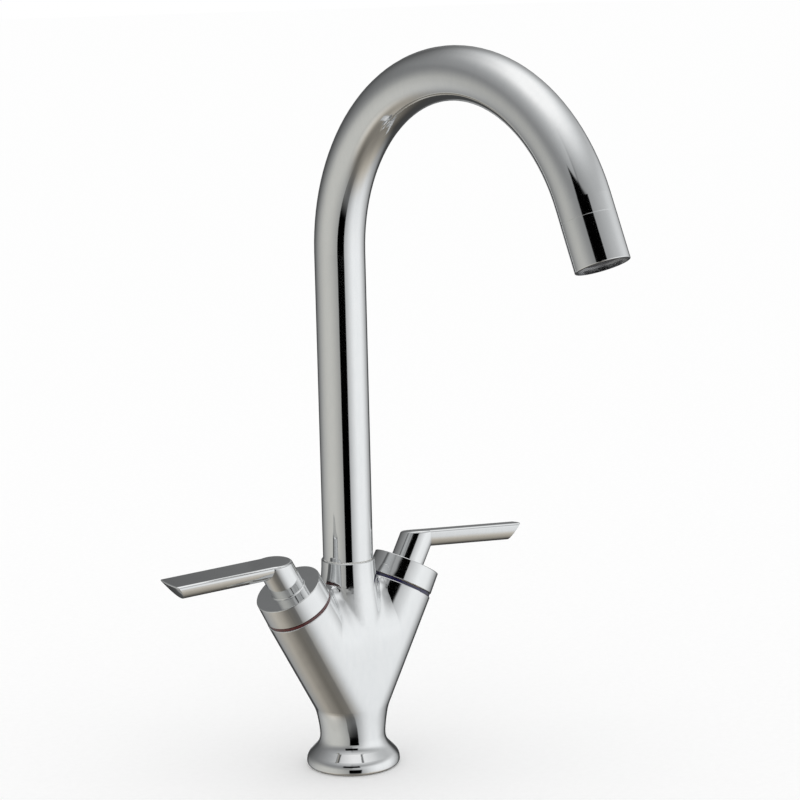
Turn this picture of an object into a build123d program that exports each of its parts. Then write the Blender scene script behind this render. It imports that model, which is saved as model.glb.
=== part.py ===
"""Two handle kitchen mixer tap: body, swivel spout, and a quarter turn ceramic valve under each handle.

Millimetres. The origin is the centre of the flange's underside, on the deck. +Z is up, the spout points
along -Y towards the user, the hot arm leans to -X and the cold arm to +X.
"""

from build123d import *
import math
import os

# ---- clearances ----
running_clearance = 0.05  # radial, shaft or seal in its bore
fixed_clearance = 0.03  # radial, soldered, screwed and pressed pieces
face_gap = 0.3  # between a turning piece and the casing beside it
edge_round = 0.4  # polished outer edges

# ---- body casting ----
foot_radius = 23.5
foot_roll = 6.0  # rounding of the flange's rim
foot_edge_height = 4.6  # where the rim's side meets its sloping top
foot_edge_round = 1.7
neck_radius = 16.5
neck_height = 12.0  # where the flange's sloping top meets the neck
neck_blend = 8.0
neck_top_z = 16.0  # where the round neck starts to widen into the two arms
hip_fullness = 0.5  # extra half width halfway up the widening
hip_sections = 7
arm_lean = 30.0
arm_root_z = 31.0  # height where the two arm axes cross
arm_radius = 17.5
arm_mouth = 63.7  # along the arm axis from its root
palm_top_z = 57.0  # flat front and back between the arms up to here
knuckle_sections = 20
knuckle_points = 31
knuckle_overlap = 6.0  # below the palm's top, hidden inside it
valley_radius = 4.4  # hollow between the collar and each arm
valley_full_z = 88.0  # the hollow is this tight from here up and flattens out below
valley_fade = 3.4  # power of that flattening
web_below_mouth = 0.8  # the web behind the hollow stops this far below the arm's mouth
blend_sink = 0.04  # blended surfaces lie this far inside the ones they meet
collar_radius = 13.4  # at its rim
collar_base_z = 95.0  # round from here up
collar_top_z = 106.0
collar_round = 0.5
collar_points = 12
flare_start_z = 64.0  # the front and back lean in from here up to the collar's rim

# ---- holes in the underside ----
inlet_spacing = 17.0
inlet_thread_radius = 4.5  # M10 x 1 tapping size
inlet_thread_length = 14.0
waterway_radius = 3.2
stud_offset = 10.5
stud_thread_radius = 3.4  # M8 tapping size
stud_thread_length = 16.0
seal_groove_radius = 19.6
seal_width = 2.0
seal_depth = 1.6

# ---- spout ----
tube_radius = 12.5
tube_wall = 1.5
riser_top_z = 259.4
bend_radius = 87.8
bend_angle = 157.1
tail_length = 8.3
seam_chamfer = 0.12

# ---- spout bearing ----
spout_bore_radius = 9.1
spout_bore_floor_z = 72.0
mixing_radius = 5.5
mixing_floor_z = 58.0
cross_port_radius = 2.6
cross_port_z = 66.0
washer_thickness = 0.6
washer_radius = 12.1
spigot_slack = 0.2  # spigot below its bore size; the glide ring takes the load
spigot_length = 32.5
spigot_socket = 14.0  # length soldered into the tube
spigot_wall = 2.9
glide_ring_z = 99.0
glide_ring_height = 4.0
glide_ring_wall = 1.0
spout_seal_heights = (78.0, 84.0)
spout_seal_depth = 1.6
screw_radius = 2.5
screw_z = 92.0
screw_tip_radius = 1.4
screw_tip_length = 1.9
screw_groove_depth = 1.6
screw_sunk = 0.6  # outer end below the collar's surface
hex_key = 2.5

# ---- nozzle ----
nozzle_length = 21.6
nozzle_thread_radius = 10.2
nozzle_thread_length = 9.0
ferrule_bore = 7.5
aerator_seat_radius = 9.0
aerator_seat_depth = 11.0
aerator_radius = 11.2
aerator_recess = 2.2
aerator_lip = 2.4
aerator_washer_thickness = 1.5
screen_thickness = 0.8
screen_hole_radius = 0.6
screen_pitch = 1.9

# ---- valve, along the arm axis ----
chamber_radius = 9.6
chamber_floor = 33.0
valve_thread_radius = 10.3
valve_thread_start = 53.0
drill_end = 13.0  # lower end of the slanting waterway
casing_radius = 8.0
cavity_radius = 7.0
cavity_top = 46.0
seat_seal_height = 2.2
seat_seal_bore = 4.0
disc_thickness = 3.0
disc_port_inner = 1.6
disc_port_outer = 5.6
window_width = 6.0
window_height = 4.0
bonnet_flange_radius = 13.0
bonnet_flange_height = 1.8
bonnet_washer_thickness = 0.8
bonnet_washer_bore = 10.6
hexagon_flats = 17.0
hexagon_top = 71.0
spindle_bore = 3.7
yoke_width = 4.5
yoke_height = 3.2
thrust_radius = 5.5
tongue_width = 3.0
tongue_depth = 1.4
spindle_seal_places = (51.0, 57.0)
spindle_seal_depth = 1.0
clip_thickness = 0.8
clip_radius = 5.2
clip_groove_depth = 0.6
clip_opening = 60.0
spline_start = 72.8
spline_end = 84.0
spline_radius = 3.9
spline_teeth = 20
spline_tooth_height = 0.4
bush_radius = 5.2
bush_start = 73.5
bush_end = 84.5
ring_radius = 16.9
ring_thickness = 1.4

# ---- handle ----
hub_top = 76.5
hub_radius = 17.3
hub_top_radius = 17.05
hub_wall = 2.4
hub_roof = 3.2
stem_radius = 8.5
stem_foot_round = 0.6
lever_height = 94.0  # where the lever's flat top crosses the arm axis
lever_rise = 26.5  # slope of the flat top against the hub's top
lever_half_width = 7.95
lever_depth = 8.6
lever_length = 56.2
lever_undercut = 6.7  # the flat top overhangs the underside by this much at the tip
lever_edge_round = 1.4
tip_radius = 40.0
tip_stock = 2.0  # left past the tip until its end is cut to shape
tip_skew = 9.6  # the tip's edge is turned by this much, so the lever's rear corner is its longest
handle_screw_radius = 2.0
handle_screw_place = 79.0
handle_screw_sunk = 0.4
hot_lever_turn = -12.5  # towards the back of the tap, about the arm axis
cold_lever_turn = 19.2  # towards the front

MIN_Z = (Align.CENTER, Align.CENTER, Align.MIN)


# ---- helpers ----
def turned(*corners):
    """Solid of revolution about Z from (radius, height) corners."""
    outline = Polyline(*[(r, 0, z) for r, z in corners], close=True)
    return revolve(make_face(outline), Axis.Z)


def bar(radius, low, high):
    """Round bar on Z between two heights."""
    return Pos(0, 0, low) * Cylinder(radius, high - low, align=MIN_Z)


def tube(outer, inner, low, high):
    """Round tube on Z between two heights."""
    return bar(outer, low, high) - bar(inner, low - 1, high + 1)


def groove(radius, depth, width, middle):
    """Ring to cut out of a shaft of this radius."""
    return tube(radius + 1, radius - depth, middle - width / 2, middle + width / 2)


def circles(shape, radius):
    """Circular edges of this radius."""
    return shape.edges().filter_by(GeomType.CIRCLE).filter_by(lambda e: abs(e.radius - radius) < 1e-6)


def seal_rings(bore, depth, places, clearance):
    """O-rings, one per place, squeezed between a groove's floor and the bore round it."""
    floor = bore - depth
    section = depth / 2 - clearance
    return Compound([Pos(0, 0, z) * Torus(floor + depth / 2, section) for z in places])


def arm_plane(side):
    """Frame of one arm: Z runs up the arm from its root, X points away from the spout."""
    lean = math.radians(arm_lean)
    outwards = (side * math.cos(lean), 0, -math.sin(lean))
    upwards = (side * math.sin(lean), 0, math.cos(lean))
    return Plane(origin=(0, 0, arm_root_z), x_dir=outwards, z_dir=upwards)


def tail_plane():
    """Frame at the end of the tube: Z runs out of the spout, X is the tap's own X."""
    turn = math.radians(bend_angle)
    outwards = Vector(0, -math.sin(turn), math.cos(turn))
    centre = Vector(0, -bend_radius, riser_top_z)
    bend_end = centre + Vector(0, math.cos(turn), math.sin(turn)) * bend_radius
    return Plane(origin=bend_end + outwards * tail_length, x_dir=(1, 0, 0), z_dir=outwards)


# ---- body casting and its base seal ----
def foot():
    """Flange with a rolled rim and the round neck above it, as one turned shape."""
    corners = [
        (0, 0),
        (foot_radius, 0),
        (foot_radius, foot_edge_height),
        (neck_radius, neck_height),
        (neck_radius, neck_top_z),
        (0, neck_top_z),
    ]
    outline = make_face(Polyline(*[(r, 0, z) for r, z in corners], close=True))
    for corner, rounding in ((1, foot_edge_round), (2, foot_roll), (3, neck_blend)):
        radius, height = corners[corner]
        sharp = outline.vertices().sort_by_distance((radius, 0, height))[0]
        outline = fillet(sharp, rounding)
    return revolve(outline, Axis.Z)


def ease(share):
    """Goes from 0 to 1, level at both ends."""
    return share * share * (3 - 2 * share)


def hip():
    """Round neck widening into the ellipse that both arms share at their root.

    Its two sides move apart bodily at the top, as the arms do, so they run on into the arms' surfaces.
    """
    slope = math.tan(math.radians(arm_lean))
    height = arm_root_z - neck_top_z
    root_width = arm_radius / math.cos(math.radians(arm_lean))
    sections = []
    for step in range(hip_sections):
        share = step / (hip_sections - 1)
        fullness = 16 * hip_fullness * (share * (1 - share)) ** 2
        width = neck_radius + (root_width - neck_radius) * ease(share) + fullness
        depth = neck_radius + (arm_radius - neck_radius) * ease(share)
        spread = height * slope * (share**3 - share**2)
        level = neck_top_z + height * share
        end = math.degrees(math.acos(-spread / width))
        if step:
            right = Edge.make_ellipse(width, depth, Plane((spread, 0, level)), -end, end)
            left = Edge.make_ellipse(width, depth, Plane((-spread, 0, level)), 180 - end, 180 + end)
        else:
            right = Edge.make_circle(neck_radius, Plane((0, 0, level)), -90, 90)
            left = Edge.make_circle(neck_radius, Plane((0, 0, level)), 90, 270)
        sections.append(make_face([right, left]))
    return loft(sections)


def arm(side):
    """Straight round arm on its own side of the middle, from the root's height to the mouth."""
    blank = bar(arm_radius, -2 * arm_radius, arm_mouth)
    rim = blank.edges().sort_by(Axis.Z)[-1]
    own_side = Align.MAX if side < 0 else Align.MIN
    reach = 2 * arm_mouth
    half = Box(reach, reach, reach, align=(own_side, Align.CENTER, Align.MIN))
    return (arm_plane(side) * fillet(rim, edge_round)) & (Pos(0, 0, arm_root_z) * half)


def palm(side):
    """Flat web between the middle and one arm's axis, level with the arm's front and back."""
    width = side * arm_axis_reach(palm_top_z)
    corners = ((0, 0, arm_root_z), (width, 0, palm_top_z), (0, 0, palm_top_z))
    web = make_face(Polyline(*corners, close=True))
    return extrude(web, arm_radius, dir=(0, 1, 0)) + extrude(web, arm_radius, dir=(0, -1, 0))


def arm_axis_reach(height):
    """Distance of an arm's axis from the middle at this height."""
    return (height - arm_root_z) * math.tan(math.radians(arm_lean))


def hollow(height, depth, radius):
    """Circle that touches the collar and the arm from outside: its centre, and where it touches the arm."""
    wide = arm_radius / math.cos(math.radians(arm_lean)) - blend_sink
    deep = arm_radius - blend_sink
    front, inner = math.pi / 2, math.pi
    for _ in range(50):
        turn = (front + inner) / 2
        touch = Vector(arm_axis_reach(height) + wide * math.cos(turn), deep * math.sin(turn))
        outwards = Vector(deep * math.cos(turn), wide * math.sin(turn)).normalized()
        centre = touch + outwards * radius
        if centre.length > depth + radius:
            front = turn
        else:
            inner = turn
    return centre, touch


def throat_radius(height):
    """Distance of the front and back from the middle: the palm's, easing in to the collar's rim."""
    share = max(0, height - flare_start_z) / (collar_top_z - flare_start_z)
    return arm_radius + (collar_radius - arm_radius) * ease(share)


def knuckle_section(height):
    """Outline at one height: round at the collar, a hollow on each side, its ends hidden in the arms."""
    depth = throat_radius(height) - blend_sink
    flatness = min(1, max(0.01, (height - palm_top_z) / (valley_full_z - palm_top_z)))
    radius = valley_radius / flatness**valley_fade
    centre, touch = hollow(height, depth, radius)
    collar_end = centre.X * depth / (depth + radius)
    points = []
    for step in range(knuckle_points):
        x = touch.X * (2 * step / (knuckle_points - 1) - 1)
        if abs(x) <= collar_end:
            y = math.sqrt(depth**2 - x**2)
        else:
            y = centre.Y - math.sqrt(radius**2 - (abs(x) - centre.X) ** 2)
        points.append((x, y))
    far = Spline(*points)
    near = Spline(*[(x, -y) for x, y in reversed(points)])
    inside = touch.X + (arm_axis_reach(height) - touch.X) / 2
    right = Polyline(far @ 1, (inside, 0), near @ 0)
    left = Polyline(near @ 1, (-inside, 0), far @ 0)
    edges = [far.edge(), *right.edges(), near.edge(), *left.edges()]
    return Plane.XY.offset(height) * make_face(edges)


def knuckle():
    """Smooth rise from the flat palm to the round collar."""
    low = palm_top_z - knuckle_overlap
    rise = (collar_base_z - low) / (knuckle_sections - 1)
    shape = loft([knuckle_section(low + rise * step) for step in range(knuckle_sections)])
    above = Box(arm_mouth, arm_mouth, arm_mouth, align=MIN_Z)
    for side in (-1, 1):
        shape -= arm_plane(side) * (Pos(0, 0, arm_mouth - web_below_mouth) * above)
    return shape


def collar():
    """Round top of the body, flaring gently down towards the palm."""
    rise = (collar_top_z - collar_base_z) / (collar_points - 1)
    heights = [collar_base_z + rise * step for step in range(collar_points)]
    side = Spline(*[(throat_radius(z), 0, z) for z in heights])
    ends = Polyline(side @ 1, (0, 0, collar_top_z), (0, 0, collar_base_z), side @ 0)
    outline = make_face([side.edge(), *ends.edges()])
    rim = outline.vertices().sort_by_distance((collar_radius, 0, collar_top_z))[0]
    return revolve(fillet(rim, collar_round), Axis.Z)


def body_outside():
    shape = arm(-1) + palm(-1)
    shape += arm(1) + palm(1)
    return shape + knuckle() + collar() + hip() + foot()


def valve_hole(side):
    """Chamber, thread and slanting waterway of one arm."""
    hole = bar(chamber_radius, chamber_floor, valve_thread_start)
    hole += bar(valve_thread_radius, valve_thread_start, arm_mouth + 1)
    hole += bar(waterway_radius, drill_end, chamber_floor + 1)
    return arm_plane(side) * hole


def inlet_hole(side):
    offset = inlet_spacing / 2
    rise = arm_root_z + offset / math.tan(math.radians(arm_lean))
    hole = bar(inlet_thread_radius, -1, inlet_thread_length) + bar(waterway_radius, 0, rise)
    return Pos(side * offset, 0, 0) * hole


def spout_hole():
    hole = bar(spout_bore_radius, spout_bore_floor_z, collar_top_z + 1)
    hole += bar(mixing_radius, mixing_floor_z, spout_bore_floor_z + 1)
    reach = 2 * (cross_port_z - arm_root_z) * math.tan(math.radians(arm_lean))
    hole += Pos(0, 0, cross_port_z) * Rot(0, 90, 0) * Cylinder(cross_port_radius, reach)
    reach = throat_radius(screw_z) + 1
    return hole + Pos(0, reach / 2, screw_z) * Rot(90, 0, 0) * Cylinder(screw_radius, reach)


def tap_body():
    shape = body_outside() - spout_hole()
    for side in (-1, 1):
        shape -= valve_hole(side)
        shape -= inlet_hole(side)
    shape -= Pos(0, -stud_offset, 0) * bar(stud_thread_radius, -1, stud_thread_length)
    shape -= base_seal_ring(fixed_clearance)
    return shape


def base_seal_ring(grow):
    half = seal_width / 2 + grow
    return tube(seal_groove_radius + half, seal_groove_radius - half, min(0, -grow), seal_depth + grow)


def base_seal():
    return base_seal_ring(0)


# ---- spout ----
def spout_tube():
    """Straight riser, one long bend and a short straight tail, as one drawn tube."""
    bottom = collar_top_z + washer_thickness
    section = Plane.XY.offset(riser_top_z) * (Circle(tube_radius) - Circle(tube_radius - tube_wall))
    bend_axis = Axis((0, -bend_radius, riser_top_z), (1, 0, 0))
    bend = revolve(section, bend_axis, bend_angle)
    riser = tube(tube_radius, tube_radius - tube_wall, bottom, riser_top_z)
    tail = tail_plane() * tube(tube_radius, tube_radius - tube_wall, -tail_length, 0)
    shape = riser + bend + tail
    outer_circles = circles(shape, tube_radius)
    outlet = outer_circles.sort_by_distance(tail_plane().origin)[0]
    return chamfer(outlet, seam_chamfer)


def spigot_radius():
    return spout_bore_radius - spigot_slack


def spout_spigot():
    top = collar_top_z + washer_thickness
    low = collar_top_z - spigot_length
    socket = tube_radius - tube_wall - fixed_clearance
    shape = bar(spigot_radius(), low, top) + bar(socket, top, top + spigot_socket)
    for z in spout_seal_heights:
        shape -= groove(spigot_radius(), spout_seal_depth - spigot_slack, spout_seal_depth, z)
    screw_groove_width = 2 * screw_tip_radius + face_gap
    shape -= groove(spigot_radius(), screw_groove_depth - spigot_slack, screw_groove_width, screw_z)
    ring_depth = glide_ring_wall - spigot_slack
    shape -= groove(spigot_radius(), ring_depth, glide_ring_height + fixed_clearance, glide_ring_z)
    return shape - bar(spigot_radius() - spigot_wall, low - 1, top + spigot_socket + 1)


def spout_o_rings():
    return seal_rings(spout_bore_radius, spout_seal_depth, spout_seal_heights, running_clearance)


def spout_glide_ring():
    outer = spout_bore_radius - running_clearance
    inner = spout_bore_radius - glide_ring_wall + fixed_clearance
    half = glide_ring_height / 2
    ring = tube(outer, inner, glide_ring_z - half, glide_ring_z + half)
    split = Pos(0, -outer, glide_ring_z) * Box(1, outer, glide_ring_height + 1)
    return ring - split


def spout_thrust_washer():
    return tube(washer_radius, spout_bore_radius, collar_top_z, collar_top_z + washer_thickness)


def grub_screw(radius, length, tip_radius, tip_length):
    """Set screw on Z, its tip at height 0 and its key socket at the top."""
    shape = bar(radius, tip_length, length) + bar(tip_radius, 0, tip_length)
    key = extrude(RegularPolygon(hex_key * radius / screw_radius / 2, 6, major_radius=False), radius)
    return shape - Pos(0, 0, length - radius) * key


def spout_retaining_screw():
    tip = spout_bore_radius - screw_groove_depth + running_clearance * 4
    length = throat_radius(screw_z) - screw_sunk - tip
    screw = grub_screw(screw_radius - fixed_clearance, length, screw_tip_radius, screw_tip_length)
    return Pos(0, tip, screw_z) * Rot(-90, 0, 0) * screw


# ---- nozzle ----
def nozzle_ferrule():
    """Threaded stub soldered into the tube's straight tail."""
    socket = bar(tube_radius - tube_wall - fixed_clearance, face_gap - tail_length, 0)
    shape = socket + bar(nozzle_thread_radius, 0, nozzle_thread_length)
    return tail_plane() * (shape - bar(ferrule_bore, -tail_length, nozzle_thread_length + 1))


def nozzle_housing():
    shape = bar(tube_radius, 0, nozzle_length)
    shape = chamfer(shape.edges().sort_by(Axis.Z)[0], seam_chamfer)
    shape = fillet(shape.edges().sort_by(Axis.Z)[-1], edge_round)
    shape -= bar(nozzle_thread_radius + fixed_clearance, -1, nozzle_thread_length + face_gap)
    shape -= bar(aerator_seat_radius, 0, aerator_seat_depth + 1)
    shape -= bar(aerator_radius, aerator_seat_depth, nozzle_length + 1)
    return tail_plane() * shape


def aerator_end():
    return nozzle_length - aerator_recess


def aerator_cartridge():
    """Cup with a lip that carries the screen and slots at the top that let air in."""
    top = aerator_seat_depth + aerator_washer_thickness
    outer = aerator_radius - fixed_clearance
    bore = outer - aerator_lip
    shape = tube(outer, bore, top, aerator_end())
    spider = Box(2 * bore + 1, 1.2, 2, align=MIN_Z) + Box(1.2, 2 * bore + 1, 2, align=MIN_Z)
    shape += Pos(0, 0, top) * (spider + Cylinder(3, 2, align=MIN_Z))
    ledge = tube(bore + 0.1, bore - 0.8, screen_top() - 1.2, screen_top())
    return tail_plane() * (shape + ledge)


def screen_top():
    return aerator_end() - 1.0 - screen_thickness


def aerator_screen():
    """Perforated disc, holes on a hexagonal pattern."""
    radius = aerator_radius - fixed_clearance - aerator_lip - fixed_clearance
    low = screen_top()
    disc = bar(radius, low, low + screen_thickness)
    rows = math.floor(radius / (screen_pitch * math.sqrt(3) / 2))
    places = []
    for row in range(-rows, rows + 1):
        y = row * screen_pitch * math.sqrt(3) / 2
        shift = (row % 2) * screen_pitch / 2
        columns = math.ceil(radius / screen_pitch)
        for column in range(-columns, columns + 1):
            x = column * screen_pitch + shift
            if math.hypot(x, y) < radius - 2 * screen_hole_radius:
                places.append(Pos(x, y, low - 1))
    holes = [place * Cylinder(screen_hole_radius, screen_thickness + 2, align=MIN_Z) for place in places]
    return tail_plane() * (disc - holes)


def aerator_washer():
    low = aerator_seat_depth
    outer = aerator_radius - fixed_clearance
    return tail_plane() * tube(outer, aerator_seat_radius - 1, low, low + aerator_washer_thickness)


# ---- valve, built on the arm's own axis ----
def disc_floor():
    return chamber_floor + seat_seal_height


def disc_ports(low):
    """Two quarter ring ports through a disc that starts at this height."""
    ring = tube(disc_port_outer, disc_port_inner, low - 1, low + disc_thickness + 1)
    tall = 4 * disc_thickness
    quarter = Box(disc_port_outer, disc_port_outer, tall, align=(Align.MIN, Align.MIN, Align.CENTER))
    quarters = quarter + Rot(0, 0, 180) * quarter
    return ring & (Pos(0, 0, low) * quarters)


def fixed_disc():
    low = disc_floor()
    return bar(cavity_radius - fixed_clearance, low, low + disc_thickness) - disc_ports(low)


def turning_disc():
    """The same disc a quarter turn round, so the valve is shut at rest, with a slot for the spindle."""
    low = disc_floor() + disc_thickness
    slot_floor = low + disc_thickness - tongue_depth - running_clearance
    shape = bar(cavity_radius - running_clearance, low, low + disc_thickness)
    shape -= Rot(0, 0, 90) * disc_ports(low)
    slot = Box(3 * cavity_radius, tongue_width + 2 * running_clearance, 2 * tongue_depth, align=MIN_Z)
    return shape - Pos(0, 0, slot_floor) * slot


def yoke_floor():
    return disc_floor() + 2 * disc_thickness


def seat_seal():
    return tube(cavity_radius - fixed_clearance, seat_seal_bore, chamber_floor, disc_floor())


def flange_floor():
    return arm_mouth + bonnet_washer_thickness


def valve_bonnet():
    """Screwed casing: cup for the discs with two outlet windows, thread, flange and hexagon."""
    low = chamber_floor + face_gap
    shape = bar(casing_radius, low, valve_thread_start)
    shape += bar(valve_thread_radius - fixed_clearance, valve_thread_start + face_gap, flange_floor())
    shape += bar(casing_radius, valve_thread_start, flange_floor())
    shape += bar(bonnet_flange_radius, flange_floor(), flange_floor() + bonnet_flange_height)
    hexagon = extrude(RegularPolygon(hexagon_flats / 2, 6, major_radius=False), hexagon_top - flange_floor())
    shape += Pos(0, 0, flange_floor()) * hexagon
    shape -= bar(cavity_radius, low - 1, cavity_top)
    shape -= bar(spindle_bore, low, hexagon_top + 1)
    window = Box(3 * casing_radius, window_width, window_height, align=MIN_Z)
    return shape - Pos(0, 0, cavity_top - window_height) * window


def bonnet_washer():
    return tube(bonnet_flange_radius, bonnet_washer_bore, arm_mouth, flange_floor())


def spline_section():
    """Twenty pointed teeth."""
    root = spline_radius - spline_tooth_height
    points = []
    for tooth in range(spline_teeth):
        for half, radius in ((0, spline_radius), (0.5, root)):
            turn = 2 * math.pi * (tooth + half) / spline_teeth
            points.append((radius * math.cos(turn), radius * math.sin(turn)))
    return make_face(Polyline(*points, close=True))


def clip_place():
    return hexagon_top + face_gap + clip_thickness / 2


def valve_spindle():
    """Yoke and tongue that drive the turning disc, thrust collar, sealed shank and splined end."""
    shank = spindle_bore - running_clearance
    low = yoke_floor()
    yoke = bar(cavity_radius - running_clearance, low, low + yoke_height)
    shape = yoke & Pos(0, 0, low) * Box(3 * cavity_radius, yoke_width, yoke_height, align=MIN_Z)
    tongue = Box(1.6 * cavity_radius, tongue_width, tongue_depth, align=MIN_Z)
    shape += Pos(0, 0, low - tongue_depth) * tongue
    shape += bar(thrust_radius, low + yoke_height, cavity_top - running_clearance)
    shape += bar(shank, low, spline_start)
    shape += Pos(0, 0, spline_start) * extrude(spline_section(), spline_end - spline_start)
    for place in spindle_seal_places:
        shape -= groove(shank, spindle_seal_depth - running_clearance, spindle_seal_depth, place)
    return shape - groove(shank, clip_groove_depth, clip_thickness + running_clearance, clip_place())


def spindle_o_rings():
    return seal_rings(spindle_bore, spindle_seal_depth, spindle_seal_places, running_clearance)


def spindle_clip():
    inner = spindle_bore - running_clearance - clip_groove_depth + fixed_clearance
    half = clip_thickness / 2
    ring = tube(clip_radius, inner, clip_place() - half, clip_place() + half)
    width = 2 * inner * math.sin(math.radians(clip_opening / 2))
    opening = Box(2 * clip_radius, width, 2, align=(Align.MIN, Align.CENTER, Align.CENTER))
    return ring - Pos(0, 0, clip_place()) * opening


def spline_bush(back):
    shape = tube(bush_radius, spline_radius + fixed_clearance, bush_start, bush_end)
    return shape - handle_screw_hole(back)


def indicator_ring():
    return tube(ring_radius, bonnet_flange_radius + fixed_clearance, arm_mouth, arm_mouth + ring_thickness)


# ---- handle, built on the arm's own axis with its lever over local X ----
def screw_place(back, distance):
    """Frame on the stem's rear side, Z pointing out of the stem."""
    return Pos(0, 0, handle_screw_place) * Rot(-90 * back, 0, 0) * Pos(0, 0, distance)


def handle_screw_hole(back):
    return screw_place(back, 0) * Cylinder(handle_screw_radius, 2 * stem_radius, align=MIN_Z)


def handle_screw(back):
    tip = spline_radius + running_clearance
    length = stem_radius - handle_screw_sunk - tip
    radius = handle_screw_radius - fixed_clearance
    return screw_place(back, tip) * grub_screw(radius, length, radius - 0.5, 0.5)


def lever_plane():
    """Frame of the lever: origin where its flat top crosses the axis, Z along the lever, X across it."""
    rise = math.radians(lever_rise)
    along = (math.cos(rise), 0, math.sin(rise))
    return Plane(origin=(0, 0, lever_height), x_dir=(0, 1, 0), z_dir=along)


def lever_bar(back):
    """Half round bar under a flat top, its end cut back obliquely under a slightly bowed edge."""
    half_round = Ellipse(lever_half_width, lever_depth) & Pos(0, -lever_depth) * Rectangle(
        4 * lever_half_width, 2 * lever_depth
    )
    half_round = fillet(half_round.vertices(), lever_edge_round)
    blank = lever_plane() * extrude(half_round, lever_length + tip_stock)
    rise = math.radians(lever_rise)
    along = Vector(math.cos(rise), 0, math.sin(rise))
    upward = Vector(-math.sin(rise), 0, math.cos(rise))
    skew = math.radians(tip_skew)
    backward = Vector(0, back, 0) * tip_radius * math.sin(skew)
    centre = Vector(0, 0, lever_height) + along * (lever_length - tip_radius * math.cos(skew)) + backward
    slope = (upward * -lever_depth - along * lever_undercut).normalized()
    end = extrude(Plane(origin=centre, z_dir=upward) * Circle(tip_radius), 3 * lever_depth, dir=slope)
    shape = blank & end
    tip_face = shape.faces().sort_by(Axis.X)[-1]
    return fillet(tip_face.edges(), edge_round)


def handle(back):
    """Hub, stem and lever in one casting, hollow below for the valve's head."""
    low = arm_mouth + ring_thickness + face_gap
    hub = turned((0, low), (hub_radius, low), (hub_top_radius, hub_top), (0, hub_top))
    hub = fillet(hub.edges().filter_by(GeomType.CIRCLE), edge_round)
    stem = bar(stem_radius, hub_top - 1, lever_height + 2 * stem_radius)
    rise = math.radians(lever_rise)
    flat_top = Plane(origin=(0, 0, lever_height), z_dir=(-math.sin(rise), 0, math.cos(rise)))
    stem -= flat_top * Cylinder(4 * stem_radius, 4 * stem_radius, align=MIN_Z)
    stem = fillet(stem.edges().filter_by(GeomType.ELLIPSE), lever_edge_round)
    shape = hub + stem
    foot_edge = circles(shape, stem_radius).sort_by(Axis.Z)[0]
    shape = fillet(foot_edge, stem_foot_round)
    shape += lever_bar(back)
    shape -= bar(hub_radius - hub_wall, low - 1, hub_top - hub_roof)
    shape -= bar(bush_radius + fixed_clearance, low, bush_end + face_gap)
    return shape - handle_screw_hole(back)


# ---- assembly ----
def save(name, shape):
    export_step(shape, f"parts/{name}.step")


def save_valve(name, side, lever_turn):
    """All pieces of one valve; the back of the tap is -Y in the hot arm's frame and +Y in the cold arm's."""
    back = side
    place = arm_plane(side)
    turn = Rot(0, 0, -side * lever_turn)
    fixed = {
        "indicator_ring": indicator_ring(),
        "valve_bonnet": valve_bonnet(),
        "bonnet_washer": bonnet_washer(),
        "seat_seal": seat_seal(),
        "fixed_disc": fixed_disc(),
    }
    turning = {
        "turning_disc": turning_disc(),
        "valve_spindle": valve_spindle(),
        "spindle_o_rings": spindle_o_rings(),
        "spindle_clip": spindle_clip(),
    }
    clamped = {
        "spline_bush": spline_bush(back),
        "handle": handle(back),
        "handle_screw": handle_screw(back),
    }
    for piece, shape in (fixed | turning).items():
        save(f"{name}_{piece}", place * shape)
    for piece, shape in clamped.items():
        save(f"{name}_{piece}", place * (turn * shape))


os.makedirs("parts", exist_ok=True)
save("tap_body", tap_body())
save("base_seal", base_seal())
save("spout_tube", spout_tube())
save("spout_spigot", spout_spigot())
save("spout_o_rings", spout_o_rings())
save("spout_glide_ring", spout_glide_ring())
save("spout_thrust_washer", spout_thrust_washer())
save("spout_retaining_screw", spout_retaining_screw())
save("nozzle_ferrule", nozzle_ferrule())
save("nozzle_housing", nozzle_housing())
save("aerator_cartridge", aerator_cartridge())
save("aerator_screen", aerator_screen())
save("aerator_washer", aerator_washer())
save_valve("hot", -1, hot_lever_turn)
save_valve("cold", 1, cold_lever_turn)
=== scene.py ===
import math

import bmesh
import bpy
from mathutils import Matrix, Vector

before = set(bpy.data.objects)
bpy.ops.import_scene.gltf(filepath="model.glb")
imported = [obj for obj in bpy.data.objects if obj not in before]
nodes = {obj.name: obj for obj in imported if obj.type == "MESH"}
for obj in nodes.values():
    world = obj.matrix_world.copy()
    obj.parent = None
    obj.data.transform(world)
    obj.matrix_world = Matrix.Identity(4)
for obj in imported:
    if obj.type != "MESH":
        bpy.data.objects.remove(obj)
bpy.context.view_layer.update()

# ---- Tap body -------------------------------------------------------------------------------
# One brass casting: a flared foot, two leaning valve arms and the collar that carries the
# spout. It is polished, nickel plated and chromed, so its skin is a mirror with the faint
# waves that a hand polished casting keeps.


class Wire:
    """An output socket of a finish's node, which adds Math nodes when it is used in a sum."""

    def __init__(self, finish, socket):
        self.finish, self.socket = finish, socket

    def maths(self, operation, first, second):
        return self.finish.node("ShaderNodeMath", {"operation": operation}, {0: first, 1: second})

    def __add__(self, other):
        return self.maths("ADD", self, other)

    def __radd__(self, other):
        return self.maths("ADD", other, self)

    def __sub__(self, other):
        return self.maths("SUBTRACT", self, other)

    def __rsub__(self, other):
        return self.maths("SUBTRACT", other, self)

    def __mul__(self, other):
        return self.maths("MULTIPLY", self, other)

    def __rmul__(self, other):
        return self.maths("MULTIPLY", other, self)


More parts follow.
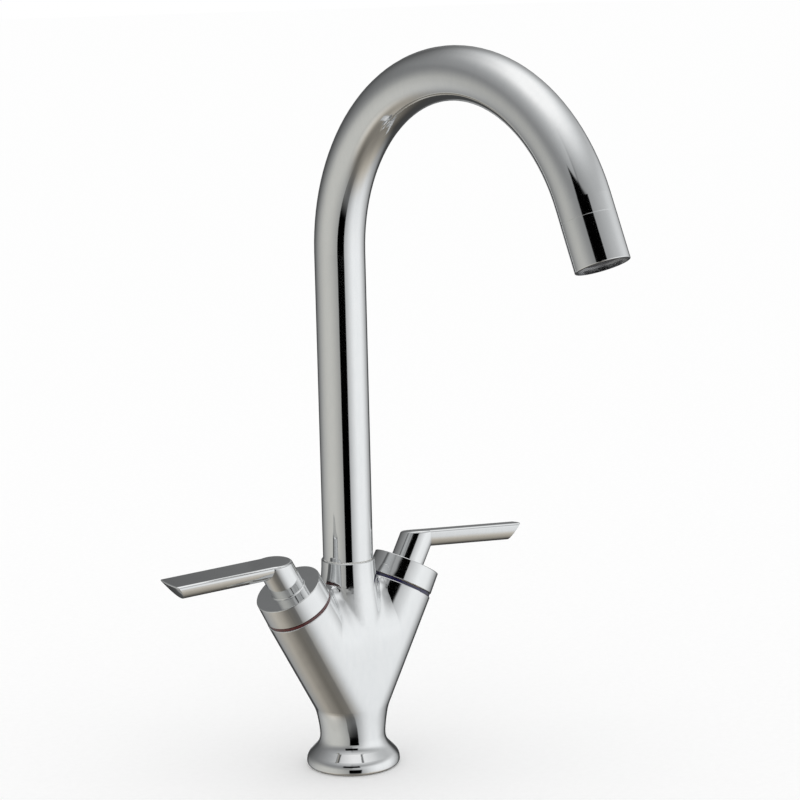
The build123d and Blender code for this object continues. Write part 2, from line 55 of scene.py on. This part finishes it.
class Finish:
    """A procedural finish, built node by node on one material."""

    def __init__(self, name):
        self.material = bpy.data.materials.new(name)
        self.material.use_nodes = True
        self.tree = self.material.node_tree
        self.tree.nodes.clear()

    def node(self, kind, settings=None, sockets=None, out=0):
        """Adds a node, sets it up, fills or links its sockets, and gives back one output."""
        made = self.tree.nodes.new(kind)
        for key, value in (settings or {}).items():
            if key == "stops":
                for stop, (place, colour) in zip(made.color_ramp.elements, value):
                    stop.position = place
                    stop.color = (*colour, 1)
            else:
                setattr(made, key, value)
        for key, value in (sockets or {}).items():
            if isinstance(value, Wire):
                self.tree.links.new(value.socket, made.inputs[key])
            else:
                made.inputs[key].default_value = value
        return Wire(self, made.outputs[out]) if made.outputs else None

    def vector(self, operation, sockets, out="Vector"):
        """Adds a Vector Math node."""
        return self.node("ShaderNodeVectorMath", {"operation": operation}, sockets, out)

    def place(self):
        """Where a point of the piece is, in metres, riding with the piece."""
        return self.node("ShaderNodeTexCoord", out="Object")

    def noise(self, per_metre, detail, stretch=(1, 1, 1)):
        """Soft mottling from 0 to 1 with about that many blotches in a metre."""
        spread = self.vector("MULTIPLY", {0: self.place(), 1: stretch})
        sockets = {"Vector": spread, "Scale": per_metre, "Detail": detail}
        return self.node("ShaderNodeTexNoise", None, sockets)

    def tone(self, mask, low, high):
        """A colour that goes from low to high over the middle of the mask, where most of it lies."""
        return self.node("ShaderNodeValToRGB", {"stops": [(0.3, low), (0.7, high)]}, {"Fac": mask})

    def bump(self, height, depth):
        """A normal from a height mask, depth metres from its bottom to its top."""
        return self.node("ShaderNodeBump", None, {"Height": height, "Distance": depth})

    def shader(self, **sockets):
        """Ends the finish in its surface shader, whose sockets are named with _ for a space."""
        named = {key.replace("_", " "): value for key, value in sockets.items()}
        surface = self.node("ShaderNodeBsdfPrincipled", None, named)
        self.node("ShaderNodeOutputMaterial", None, {"Surface": surface})
        return self.material


def coat(finish, *names):
    """Puts a finish on CAD nodes, all over."""
    for name in names:
        slots = nodes[name].data.materials
        slots.clear()
        slots.append(finish)


def plated(name, wave_depth):
    """Polished chrome plate: bluish white metal, soft waves from hand polishing, faint haze."""
    finish = Finish(name)
    waves = finish.noise(per_metre=95, detail=1)
    haze = finish.noise(per_metre=420, detail=4, stretch=(1, 1, 0.35))
    wipe_marks = finish.noise(per_metre=26, detail=3)
    mottle = 0.65 * haze + 0.35 * wipe_marks
    return finish.shader(
        Base_Color=finish.tone(mottle, (0.775, 0.785, 0.79), (0.815, 0.82, 0.82)),
        Metallic=1.0,
        Roughness=0.03 + 0.07 * mottle,
        Normal=finish.bump(waves, wave_depth),
    )


cast_chrome = plated("cast_chrome", wave_depth=0.00006)
coat(cast_chrome, "tap_body")

# ---- Base seal ------------------------------------------------------------------------------
# A flat ring of black nitrile rubber in a groove under the foot. The stud draws the tap down
# on it, and it keeps water from running under the flange.


def moulded_rubber(name):
    """Black rubber: matt, with a grey bloom and a fine moulded grain."""
    finish = Finish(name)
    grain = finish.noise(per_metre=2600, detail=3)
    bloom = finish.noise(per_metre=180, detail=3)
    return finish.shader(
        Base_Color=finish.tone(bloom, (0.012, 0.012, 0.013), (0.034, 0.034, 0.036)),
        Roughness=0.62 + 0.2 * grain,
        Normal=finish.bump(grain, 0.00004),
    )


rubber = moulded_rubber("black_rubber")
coat(rubber, "base_seal")

# ---- Spout ----------------------------------------------------------------------------------
# A drawn brass tube bent to a swan neck, with a turned spigot brazed into its foot and a
# ferrule in its tail. It swivels in the collar on a glide ring and a thrust washer, and a
# screw from behind keeps it in. The tube is drawn and buffed, so it is smoother than the body.

drawn_chrome = plated("drawn_chrome", wave_depth=0.00002)
coat(drawn_chrome, "spout_tube")


def turned_metal(name, dark, light, lines_per_metre):
    """Bare metal off the lathe: fine rings of tool marks round the piece, a little tarnish."""
    finish = Finish(name)
    rings = finish.noise(lines_per_metre, detail=1, stretch=(0.05, 0.05, 1))
    tarnish = finish.noise(per_metre=140, detail=4)
    return finish.shader(
        Base_Color=finish.tone(tarnish, dark, light),
        Metallic=1.0,
        Roughness=0.24 + 0.18 * tarnish,
        Normal=finish.bump(rings, 0.00002),
    )


brass = turned_metal("turned_brass", (0.62, 0.43, 0.19), (0.78, 0.60, 0.31), lines_per_metre=2600)
coat(brass, "spout_spigot", "nozzle_ferrule")


def moulded(name, dark, light, roughness):
    """Moulded plastic: a satin skin with slight flow marks and a fine grain."""
    finish = Finish(name)
    flow = finish.noise(per_metre=120, detail=2)
    grain = finish.noise(per_metre=3200, detail=2)
    return finish.shader(
        Base_Color=finish.tone(flow, dark, light),
        Roughness=roughness + 0.12 * grain,
        Normal=finish.bump(grain, 0.00002),
    )


white_acetal = moulded("white_acetal", (0.76, 0.76, 0.73), (0.86, 0.86, 0.83), roughness=0.38)
coat(white_acetal, "spout_glide_ring", "spout_thrust_washer")
coat(rubber, "spout_o_rings")

screw_steel = turned_metal("screw_steel", (0.26, 0.26, 0.27), (0.44, 0.44, 0.45), lines_per_metre=3800)
coat(screw_steel, "spout_retaining_screw")

# ---- Nozzle ---------------------------------------------------------------------------------
# A short chromed brass sleeve screwed on the ferrule, flush with the tube. Inside its mouth a
# grey moulded cup holds the stainless screens that mix air into the water, on a rubber washer.

coat(drawn_chrome, "nozzle_housing")

cup_plastic = moulded("cup_plastic", (0.10, 0.10, 0.105), (0.16, 0.16, 0.165), roughness=0.3)
coat(cup_plastic, "aerator_cartridge")
coat(rubber, "aerator_washer")


def woven_screen(name, wires_per_metre):
    """Stainless screen: two sets of crossed wires, each a ridge, with painted shade in the gaps between.
    """
    finish = Finish(name)
    wave_scale = wires_per_metre * math.tau / 20  # the wave texture turns 20 radians a unit
    sockets = {"Vector": finish.place(), "Scale": wave_scale}
    across = finish.node("ShaderNodeTexWave", {"bands_direction": "X"}, sockets, out="Fac")
    along = finish.node("ShaderNodeTexWave", {"bands_direction": "Y"}, sockets, out="Fac")
    wires = finish.node("ShaderNodeMath", {"operation": "MAXIMUM"}, {0: across, 1: along})
    return finish.shader(
        # The gaps between the wires are painted near black as shade, the dark inside of the nozzle seen
        # through the openings.
        Base_Color=finish.tone(wires, (0.02, 0.02, 0.02), (0.26, 0.26, 0.27)),
        Metallic=1.0,
        Roughness=0.5 - 0.2 * wires,
        Normal=finish.bump(wires, 0.0001),
    )


screen_wire = woven_screen("screen_wire", wires_per_metre=1700)
coat(screen_wire, "aerator_screen")

# ---- Valves ---------------------------------------------------------------------------------
# In each arm a brass bonnet holds two lapped ceramic discs. The upper one turns with the
# spindle over a quarter turn. Rubber seals the seat and the stem, and a clip keeps it down.


def lapped_ceramic(name):
    """Alumina lapped flat: off-white, faintly speckled, with a soft sheen."""
    finish = Finish(name)
    speck = finish.noise(per_metre=1500, detail=3)
    return finish.shader(
        Base_Color=finish.tone(speck, (0.80, 0.78, 0.73), (0.90, 0.88, 0.84)),
        Roughness=0.16 + 0.1 * speck,
        Normal=finish.bump(speck, 0.000004),
    )


ceramic = lapped_ceramic("lapped_ceramic")
for side in ("hot", "cold"):
    coat(brass, f"{side}_valve_bonnet", f"{side}_valve_spindle")
    coat(ceramic, f"{side}_fixed_disc", f"{side}_turning_disc")
    coat(rubber, f"{side}_bonnet_washer", f"{side}_seat_seal", f"{side}_spindle_o_rings")
    coat(screw_steel, f"{side}_spindle_clip")
    coat(white_acetal, f"{side}_spline_bush")

# ---- Colour rings ---------------------------------------------------------------------------
# A thin ring of clear dyed plastic between each arm and its hub, deep red for hot and navy for
# cold. It is moulded, slipped over the bonnet's flange and covered by the hub.


def dyed_ring(name, dark, light):
    """Dyed plastic: deep colour under a glossy skin, slightly streaked round the ring."""
    finish = Finish(name)
    streak = finish.noise(per_metre=420, detail=2)
    return finish.shader(
        Base_Color=finish.tone(streak, dark, light),
        Roughness=0.14 + 0.1 * streak,
        Coat_Weight=0.5,
    )


coat(dyed_ring("hot_red", (0.045, 0.008, 0.009), (0.09, 0.014, 0.015)), "hot_indicator_ring")
coat(dyed_ring("cold_navy", (0.008, 0.007, 0.035), (0.014, 0.012, 0.07)), "cold_indicator_ring")

# ---- Handles --------------------------------------------------------------------------------
# Each handle is one zinc casting: a hub over the valve, a round neck and a flat lever, chromed
# all over. A small socket screw at the back of the neck holds it on the splined bush.

lever_chrome = plated("lever_chrome", wave_depth=0.00004)
for side in ("hot", "cold"):
    coat(lever_chrome, f"{side}_handle")
    coat(screw_steel, f"{side}_handle_screw")

# ---- Floor ----------------------------------------------------------------------------------
# The pale matt sheet the tap stands on. It runs far back, so it is the backdrop as well. The
# chrome doesn't mirror it, because the tent below gives all that the chrome shows.

floor_reach = 30.0
floor_drop = 0.0003  # keeps it clear of the foot's underside


def matt_paper(name):
    """White paper: matt, with a faint cloudiness of the pulp."""
    finish = Finish(name)
    pulp = finish.noise(per_metre=300, detail=2)
    return finish.shader(
        Base_Color=finish.tone(pulp, (0.98, 0.98, 0.98), (0.995, 0.995, 0.995)),
        Roughness=0.95,
        Specular_IOR_Level=0.0,
    )


floor_mesh = bpy.data.meshes.new("floor")
floor_corners = [
    (x * floor_reach, y * floor_reach, -floor_drop) for x, y in ((-1, -1), (1, -1), (1, 1), (-1, 1))
]
floor_mesh.from_pydata(floor_corners, [], [(0, 1, 2, 3)])
floor_mesh.materials.append(matt_paper("floor_paper"))
floor = bpy.data.objects.new("floor", floor_mesh)
bpy.context.scene.collection.objects.link(floor)
floor.visible_glossy = False

# ---- Light tent -----------------------------------------------------------------------------
# The studio that the chrome mirrors: soft edged cards of light on a big dome round the tap,
# with a dark gap where the camera stands. It shows in reflections alone and blocks no view.

tent_radius = 2.5
tent_middle = Vector((0, 0, 0.15))
gap_turn = math.radians(-35)  # from straight in front, towards the hot side


class Tent(Finish):
    """Light laid out in degrees: turn goes right from the gap, climb goes up from level."""

    def __init__(self, name):
        super().__init__(name)
        gap = Vector((math.sin(gap_turn), -math.cos(gap_turn), 0))
        right = Vector((-gap.y, gap.x, 0))
        self.ray = self.vector("SUBTRACT", {0: self.place(), 1: tent_middle})
        level_ray = self.vector("MULTIPLY", {0: self.ray, 1: (1, 1, 0)})
        level_reach = self.vector("LENGTH", {0: level_ray}, out="Value")
        self.turn = self.angle(self.reach(right), self.reach(gap))
        self.climb = self.angle(self.reach((0, 0, 1)), level_reach)

    def reach(self, direction):
        """How far a point of the dome lies from its middle in that direction."""
        return self.vector("DOT_PRODUCT", {0: self.ray, 1: direction}, out="Value")

    def angle(self, side, ahead):
        """The angle in degrees of a point that far to the side and that far ahead."""
        radians = self.node("ShaderNodeMath", {"operation": "ARCTAN2"}, {0: side, 1: ahead})
        return math.degrees(1) * radians

    def rise(self, value, start, end):
        """0 below start and 1 above end, with a soft step between."""
        return self.node(
            "ShaderNodeMapRange", {"interpolation_type": "SMOOTHSTEP"},
            {"Value": value, "From Min": start, "From Max": end},
        )

    def band(self, value, start, full, fade, end):
        """A soft step up from start to full, times a soft step down from fade to end."""
        return self.rise(value, start, full) * (1 - self.rise(value, fade, end))

    def around(self, *edges):
        """A band of turn. What runs past 180 degrees goes on from -180, behind the tap."""
        return self.band(self.turn, *edges) + self.band(self.turn, *(edge - 360 for edge in edges))

    def card(self, light, across, up):
        """A soft edged card of light, with a band's edges across in turn and up in climb."""
        return light * self.around(*across) * self.band(self.climb, *up)

    def blend(self, mask, low, high):
        """A colour between low and high. A Mix node's colours are its inputs 6 and 7."""
        return self.node("ShaderNodeMix", {"data_type": "RGBA"}, {"Factor": mask, 6: low, 7: high}, out=2)

    def glow(self, light, colour):
        """Ends the finish in plain light of that strength and colour."""
        lit = self.vector("SCALE", {0: colour, "Scale": light})
        shine = self.node("ShaderNodeEmission", None, {"Color": lit})
        self.node("ShaderNodeOutputMaterial", None, {"Surface": shine})
        return self.material


tent_light = Tent("tent_light")
turn, climb = tent_light.turn, tent_light.climb
rise, band, card = tent_light.rise, tent_light.band, tent_light.card

# On the left a warm grey card that stops at the gap, with a brighter foot below it.
left_of_gap = 1 - rise(turn, -14, 14)
left_card = card(0.55, (-165, -70, -65, 42), (-66, -34, -8, 28)) * left_of_gap
left_foot = card(1.5, (-125, -70, -70, -15), (-76, -4, -57, -38)) * left_of_gap
left_spill = card(0.29, (-205, -80, -16, -6), (-5, 40, 35, 66))

# On the right a large white diffuser with a hot middle, whose light spills up and behind.
right_card = card(0.42, (-22, 10, 130, 150), (-100, 38, 0, 34))
right_glow = card(0.65, (-2, 60, 84, 145), (-82, -30, -6, 47))
right_spill = card(0.9, (-10, -5, 155, 195), (0, 30, -32, 66))

# Behind, a low grey flag on the left and a small card straight across from the camera.
back_flag = card(0.21, (-153, -150, -126, -70), (-200, -95, -30, 5))
rear_card = card(0.12, (160, 170, 184, 196), (-24, -14, 2, 14))
rear_card = rear_card + card(0.2, (175, 180, 184, 196), (-24, -14, 2, 14))

# A white roof, which comes lower on the right, and the bench far below.
roof_dip = 20 * tent_light.around(-155, 220, 133, 218)
roof = 1.06 * rise(climb + roof_dip, 35, 87)
bench = 0.16 * (1 - rise(climb, -80, -44))

room_light = 0.06
light = room_light + left_card + left_foot + left_spill + right_card + right_glow + right_spill
light = light + back_flag + rear_card + roof + bench

# The dark gap fades out towards the bench. A black boom hangs above it.
gap_depth = 0.5 * rise(climb, -66, -38) + 0.5 * rise(climb, -38, -24)
dark_gap = band(turn, -16.5, -14, 14, 17.5) * (1 - rise(climb, -3, 0)) * gap_depth
boom = band(turn, -33.5, -30, 12, 14) * band(climb, 17, 21, 33, 35.5)
light = light * (1 - dark_gap) * (1 - boom)

# The left card is a little olive, the bench brown and the roof white.
tint = tent_light.blend(2 * left_card, (0.985, 1.0, 1.01, 1), (1.01, 1.005, 0.955, 1))
tint = tent_light.blend(1 - rise(climb, -62, -35), tint, (1.08, 1.0, 0.87, 1))
tint = tent_light.blend(rise(climb, 45, 75), tint, (1, 1, 1, 1))

ball = bmesh.new()
bmesh.ops.create_uvsphere(ball, u_segments=96, v_segments=48, radius=tent_radius)
dome = bpy.data.meshes.new("light_tent")
ball.to_mesh(dome)
ball.free()
dome.transform(Matrix.Translation(tent_middle))
dome.materials.append(tent_light.glow(light, tint))
tent = bpy.data.objects.new("light_tent", dome)
tent.visible_camera = False
tent.visible_diffuse = False
tent.visible_shadow = False
bpy.context.scene.collection.objects.link(tent)

# ---- Light and camera -----------------------------------------------------------------------
# Even white light from all round, and a long lens a little above the deck. It looks in from
# the hot side, so that the spout points past the camera's right.

world = bpy.data.worlds.new("studio")
world.use_nodes = True
sky = world.node_tree.nodes["Background"]
sky.inputs["Color"].default_value = (1, 1, 1, 1)
sky.inputs["Strength"].default_value = 1.0
bpy.context.scene.world = world

camera_place = Vector((-0.7155, -0.8925, 0.3876))
camera_pan = math.radians(-40.108)  # from looking straight back, towards the cold side
camera_tilt = math.radians(79.974)  # from looking straight down
camera_roll = math.radians(-1.329)

lens = bpy.data.cameras.new("camera")
lens.lens = 105.95
lens.sensor_width = 36
lens.clip_start = 0.05
lens.clip_end = 100
camera = bpy.data.objects.new("camera", lens)
camera.matrix_world = (
    Matrix.Translation(camera_place)
    @ Matrix.Rotation(camera_pan, 4, "Z")
    @ Matrix.Rotation(camera_tilt, 4, "X")
    @ Matrix.Rotation(camera_roll, 4, "Z")
)
bpy.context.scene.collection.objects.link(camera)
bpy.context.scene.camera = camera

bpy.context.scene.view_settings.view_transform = "Standard"
